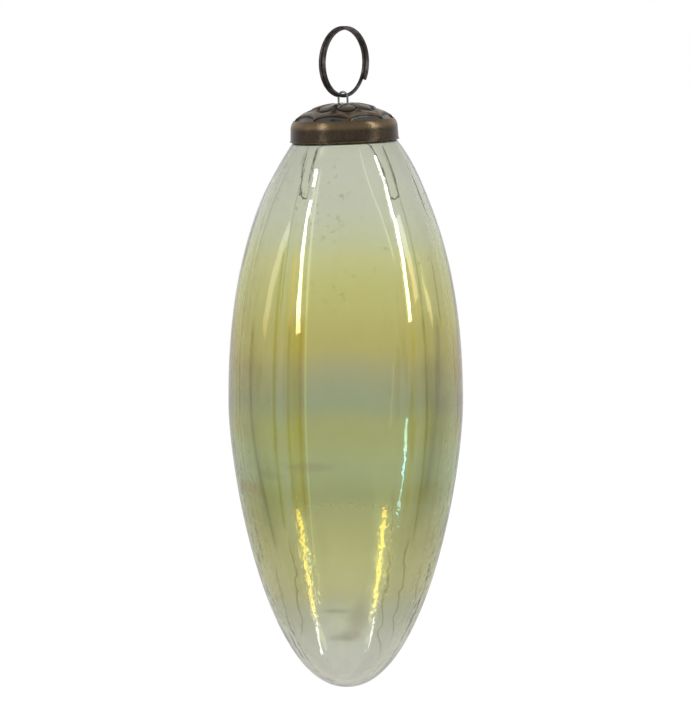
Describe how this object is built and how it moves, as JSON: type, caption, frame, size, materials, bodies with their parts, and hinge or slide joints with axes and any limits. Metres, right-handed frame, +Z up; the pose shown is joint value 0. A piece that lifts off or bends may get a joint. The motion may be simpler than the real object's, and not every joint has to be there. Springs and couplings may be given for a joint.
{
  "type": "glass christmas bauble",
  "caption": "Long spindle-shaped blown-glass Christmas bauble with soft flutes, hung from a stamped brass cap by a wire clip and a split ring.",
  "frame": {"origin": "the point inside the top of the hanging ring where a hook or ribbon bears", "axes": "+Z straight up, along the hanging bauble; the ring lies in the XZ plane and its front coil end faces -Y"},
  "size_m": [0.0814, 0.0814, 0.2291],
  "materials": {
    "dark_bronze": "dark bronzed wire, worn a little brighter along the outside",
    "spring_wire": "plain spring wire, drawn",
    "antique_brass": "stamped brass with a dark patina in the hollows and rubbed edges",
    "lustre_glass": "clear blown glass with a thin yellow-green lustre that changes with height"
  },
  "bodies": {
    "ring": {"hanging_ring": "dark_bronze"},
    "cap": {"cap": "antique_brass", "spring_clip": "spring_wire"},
    "glass": {"glass_body": "lustre_glass"}
  },
  "joints": [
    {"name": "ring_swing", "type": "hinge", "parent": "ring", "child": "cap", "pos_m": [0, 0, -0.02275], "axis": [1, 0, 0], "range_deg": [-105, 110]},
    {"name": "cap_pull", "type": "slide", "parent": "cap", "child": "glass", "axis": [0.0236, -0.0303, -0.9993], "range_m": [0, 0.018], "deforming": ["spring_clip"]}
  ]
}
